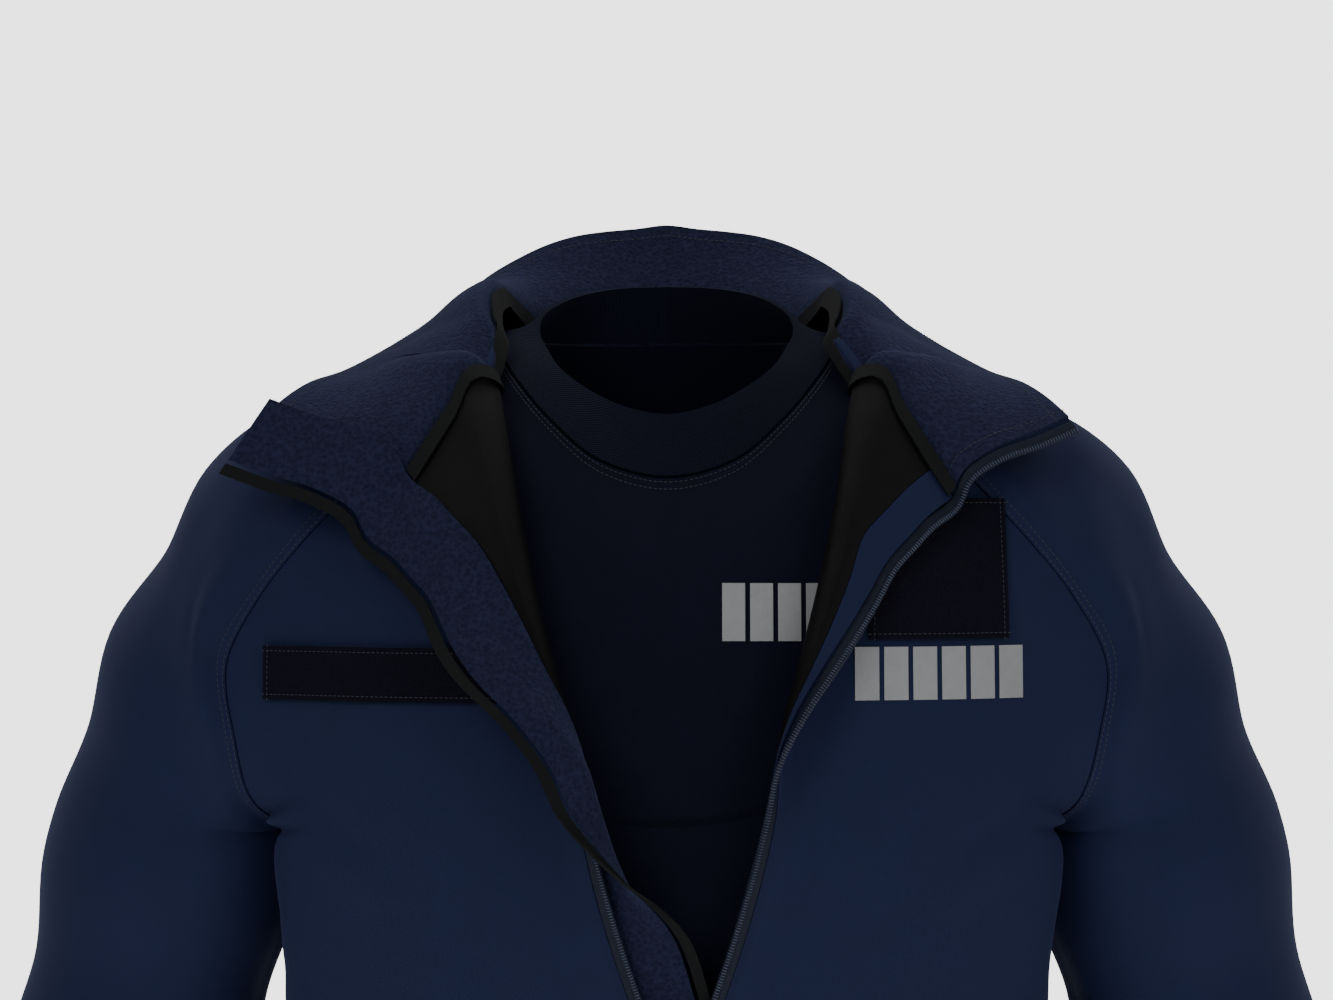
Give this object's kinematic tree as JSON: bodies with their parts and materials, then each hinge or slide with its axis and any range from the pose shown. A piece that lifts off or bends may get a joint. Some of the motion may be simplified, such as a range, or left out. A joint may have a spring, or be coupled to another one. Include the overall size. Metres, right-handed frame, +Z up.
{
  "type": "police uniform top with softshell jacket and T-shirt",
  "caption": "Worn navy softshell jacket, unzipped to the belly with its fleece collar laid open, over a crew-neck T-shirt, hollow inside.",
  "frame": {"origin": "between the tops of the shoulders at the base of the neck, where the wearer carries both garments", "axes": "+Z up, -Y the way the wearer faces, +X to the wearer's left"},
  "size_m": [0.7076, 0.2946, 0.7558],
  "materials": {
    "softshell": "matt woven softshell",
    "fleece": "brushed fleece",
    "lining": "smooth dark knit lining",
    "binding": "matt ribbed binding tape",
    "loop_tape": "hook-and-loop pile",
    "jersey": "matt cotton jersey",
    "rib_knit": "rib knit",
    "zip_tape": "zip tape with nylon coil",
    "zip_metal": "dark satin coating",
    "reflective": "silver reflective film",
    "thread": "polyester sewing thread"
  },
  "bodies": {
    "garment": {"jacket_front_left": "softshell", "jacket_front_right": "softshell", "jacket_back": "softshell", "jacket_sleeve_left": "softshell", "jacket_sleeve_right": "softshell", "collar_outer": "softshell", "facing_left": "softshell", "collar_fleece": "fleece", "wind_flap": "fleece", "collar_binding": "binding", "wind_flap_binding": "binding", "zip_left": "zip_tape", "zip_right": "zip_tape", "zip_slider": "zip_metal", "lining_left": "lining", "lining_right": "lining", "name_strip_loop": "loop_tape", "badge_patch_loop": "loop_tape", "tshirt_front": "jersey", "tshirt_back": "jersey", "tshirt_sleeve_left": "jersey", "tshirt_sleeve_right": "jersey", "tshirt_rib": "rib_knit"},
    "pull": {"zip_pull": "zip_metal"}
  },
  "joints": [
    {"name": "pull_swing", "type": "hinge", "parent": "garment", "child": "pull", "pos_m": [0.005, -0.13111, -0.3835], "axis": [-1, 0, 0], "range_deg": [0, 150]}
  ]
}
